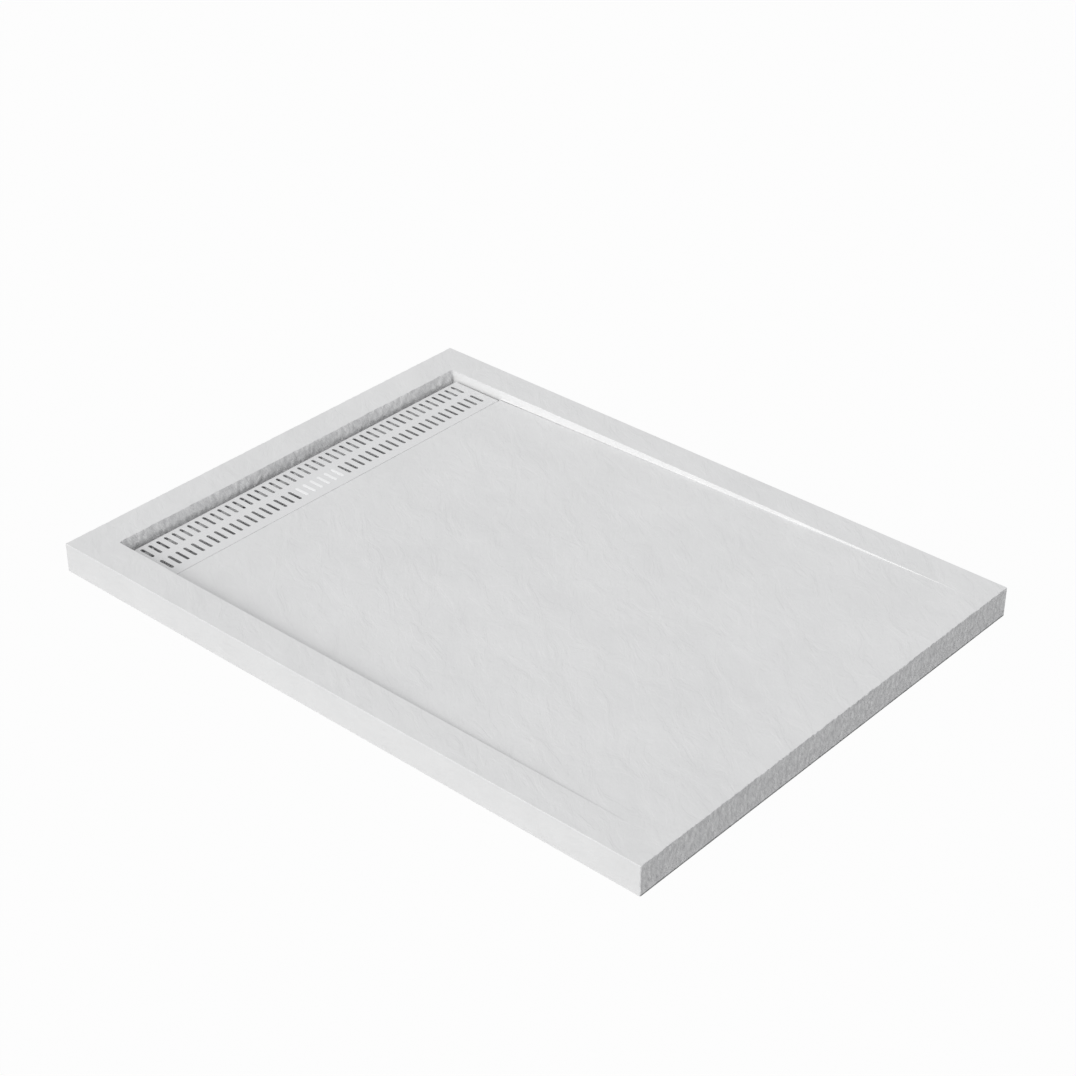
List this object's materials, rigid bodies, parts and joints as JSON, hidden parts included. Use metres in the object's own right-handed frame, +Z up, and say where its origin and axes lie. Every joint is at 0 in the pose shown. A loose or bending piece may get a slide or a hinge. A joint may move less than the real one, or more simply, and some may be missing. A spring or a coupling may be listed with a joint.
{
  "type": "shower tray",
  "caption": "Rectangular stone-resin shower tray with a floor falling to a slotted grate over a cross channel, and a lift-out waste trap below.",
  "frame": {"origin": "centre of the slab's underside, where the tray is bedded on the floor", "axes": "+X from the drain end to the flush front end, +Y across the tray, +Z up"},
  "size_m": [1.2, 0.9, 0.146],
  "materials": {
    "stone_resin": "matt white gel coat with a slate texture",
    "white_lacquer": "satin white lacquer",
    "white_plastic": "smooth white",
    "plain_steel": "drawn stainless",
    "polished_flange": "polished",
    "brass_insert": "turned",
    "black_rubber": "matt",
    "grey_plastic": "moulded",
    "trap_plastic": "moulded"
  },
  "bodies": {
    "tray": {"tray_slab": "stone_resin", "waste_flange": "polished_flange", "flange_seal": "black_rubber", "flange_screws": "plain_steel", "screw_inserts": "brass_insert", "body_gasket": "black_rubber", "trap_body": "trap_plastic", "outlet_seal": "black_rubber", "outlet_nut": "trap_plastic", "outlet_pipe": "grey_plastic"},
    "grate": {"grate_plate": "white_lacquer", "grate_rails": "plain_steel", "grate_ribs": "plain_steel", "grate_studs": "plain_steel", "stud_nuts": "plain_steel", "foot_pads": "black_rubber", "slot_infill": "white_plastic"},
    "cap": {"waste_cap": "white_plastic"},
    "strainer": {"hair_strainer": "white_plastic"},
    "seal_tube": {"dip_tube": "grey_plastic", "dip_tube_o_ring": "black_rubber"}
  },
  "joints": [
    {"name": "grate_lift", "type": "slide", "parent": "tray", "child": "grate", "axis": [0, 0, 1], "range_m": [0, 0.3]},
    {"name": "cap_lift", "type": "slide", "parent": "tray", "child": "cap", "axis": [0, 0, 1], "range_m": [0, 0.24]},
    {"name": "strainer_lift", "type": "slide", "parent": "tray", "child": "strainer", "axis": [0, 0, 1], "range_m": [0, 0.18]},
    {"name": "seal_tube_lift", "type": "slide", "parent": "tray", "child": "seal_tube", "axis": [0, 0, 1], "range_m": [0, 0.12]}
  ],
  "couplings": [
    {"joint": "cap_lift", "follows": "grate_lift", "ratio": 0.8},
    {"joint": "strainer_lift", "follows": "grate_lift", "ratio": 0.6},
    {"joint": "seal_tube_lift", "follows": "grate_lift", "ratio": 0.4}
  ]
}
